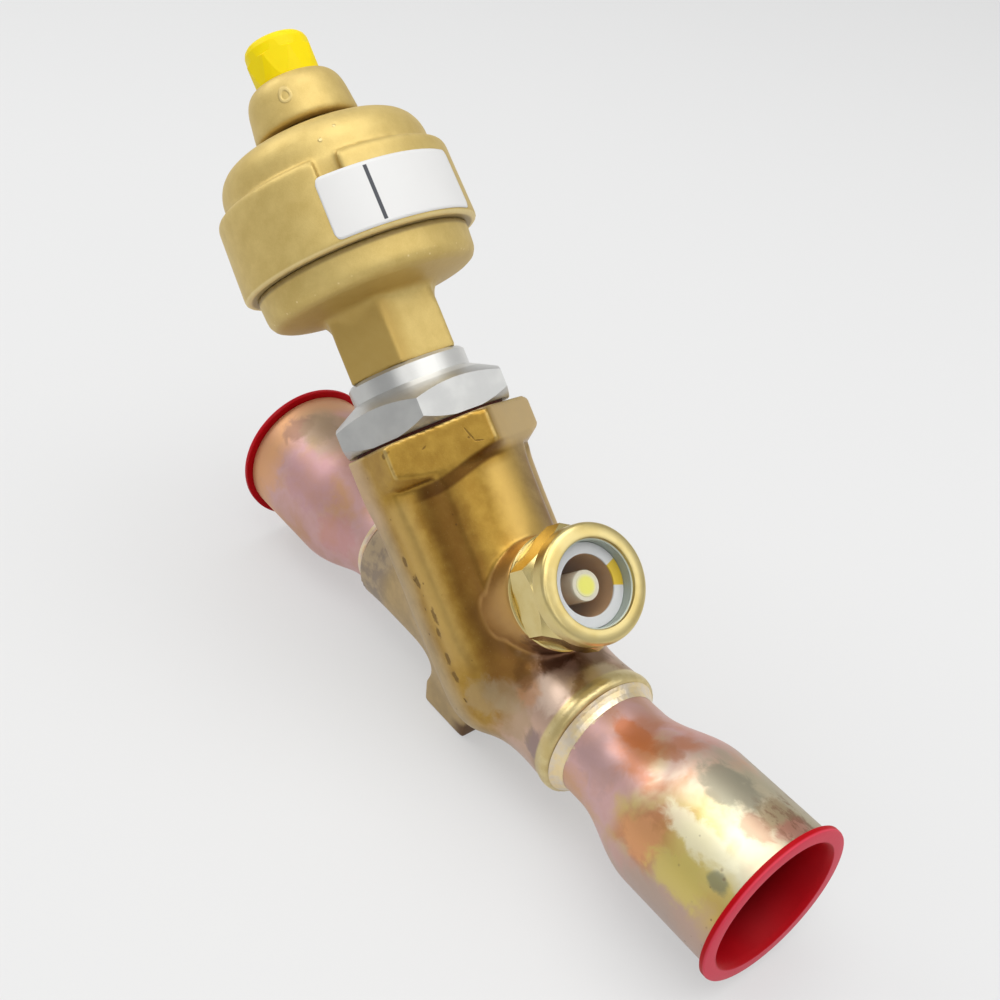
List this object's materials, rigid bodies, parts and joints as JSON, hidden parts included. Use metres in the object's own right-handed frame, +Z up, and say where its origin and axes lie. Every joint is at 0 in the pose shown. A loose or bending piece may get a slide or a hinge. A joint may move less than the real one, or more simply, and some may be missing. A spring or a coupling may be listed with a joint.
{
  "type": "electronic expansion valve",
  "caption": "Brass stepper-driven expansion valve: leaning actuator, union nut, forged body with sight glass, flared copper inlet and outlet tubes, transport caps.",
  "frame": {"origin": "centre of the inlet tube mouth, on the pipe axis", "axes": "X along the pipe line from inlet to outlet, Z up away from the foot, Y across the valve; the actuator leans 45 degrees towards the inlet in the XZ plane"},
  "size_m": [0.2056, 0.0606, 0.1451],
  "materials": {
    "body_brass": "forged, mottled",
    "cast_brass": "sand-blasted, matt",
    "polished_brass": "machined, polished",
    "copper": "heat-tinted copper",
    "braze": "bright braze fillet",
    "plated_steel": "bright plated",
    "steel": "machined steel",
    "winding": "enamelled wire",
    "magnet": "sintered magnet",
    "red_plastic": "soft moulded cap",
    "yellow_plastic": "moulded cap",
    "black_plastic": "moulded insert",
    "gear_plastic": "moulded gear",
    "white_plastic": "indicator and seals",
    "yellow_dot": "indicator dot",
    "seal_rubber": "O-ring",
    "gasket": "flat gasket",
    "glass": "window",
    "paper": "film label"
  },
  "bodies": {
    "valve": {"valve_body": "body_brass", "seat_ring": "polished_brass", "inlet_tube": "copper", "outlet_tube": "copper", "inlet_braze": "braze", "outlet_braze": "braze", "sight_fitting": "polished_brass", "sight_seal": "gasket", "sight_glass": "glass", "indicator_ring": "white_plastic", "indicator_stem": "white_plastic", "indicator_dot": "yellow_dot", "body_gasket": "gasket", "union_nut": "plated_steel", "spigot_seal": "seal_rubber", "actuator_base": "cast_brass", "spindle_bearing": "steel", "idler_pin": "steel", "gear_plate": "steel", "stator": "steel", "coil_lower": "winding", "coil_upper": "winding", "end_plate": "steel", "motor_housing": "cast_brass", "label": "paper", "connector_body": "cast_brass", "connector_insert": "black_plastic", "contact_pin_1": "polished_brass", "contact_pin_2": "polished_brass", "contact_pin_3": "polished_brass", "contact_pin_4": "polished_brass"},
    "inlet_cap": {"inlet_cap": "red_plastic"},
    "outlet_cap": {"outlet_cap": "red_plastic"},
    "connector_cap": {"connector_cap": "yellow_plastic"},
    "spindle": {"spindle": "steel", "output_gear": "gear_plastic"},
    "idler": {"idler_gear": "gear_plastic"},
    "rotor": {"rotor_magnet": "magnet", "rotor_shaft": "steel"},
    "piston": {"piston": "polished_brass", "piston_seal": "white_plastic", "valve_cone": "steel"}
  },
  "joints": [
    {"name": "spindle_spin", "type": "hinge", "parent": "valve", "child": "spindle", "pos_m": [0.1015, 0, 0], "axis": [-0.7071, 0, 0.7071], "range_deg": [0, 3344]},
    {"name": "idler_spin", "type": "hinge", "parent": "valve", "child": "idler", "pos_m": [0.1015, 0.01275, 0], "axis": [-0.7071, 0, 0.7071], "range_deg": [-9775, 0]},
    {"name": "rotor_spin", "type": "hinge", "parent": "valve", "child": "rotor", "pos_m": [0.1015, 0, 0], "axis": [-0.7071, 0, 0.7071], "range_deg": [0, 28573]},
    {"name": "piston_lift", "type": "slide", "parent": "valve", "child": "piston", "axis": [-0.7071, 0, 0.7071], "range_m": [0, 0.017]},
    {"name": "inlet_cap_pull", "type": "slide", "parent": "valve", "child": "inlet_cap", "axis": [-1, 0, 0], "range_m": [0, 0.045]},
    {"name": "outlet_cap_pull", "type": "slide", "parent": "valve", "child": "outlet_cap", "axis": [1, 0, 0], "range_m": [0, 0.045]},
    {"name": "connector_cap_pull", "type": "slide", "parent": "valve", "child": "connector_cap", "axis": [-0.7071, 0, 0.7071], "range_m": [0, 0.03]}
  ],
  "couplings": [
    {"joint": "piston_lift", "follows": "spindle_spin", "m_per_rad": 0.0002912},
    {"joint": "idler_spin", "follows": "spindle_spin", "ratio": -2.9231},
    {"joint": "rotor_spin", "follows": "spindle_spin", "ratio": 8.5444}
  ]
}
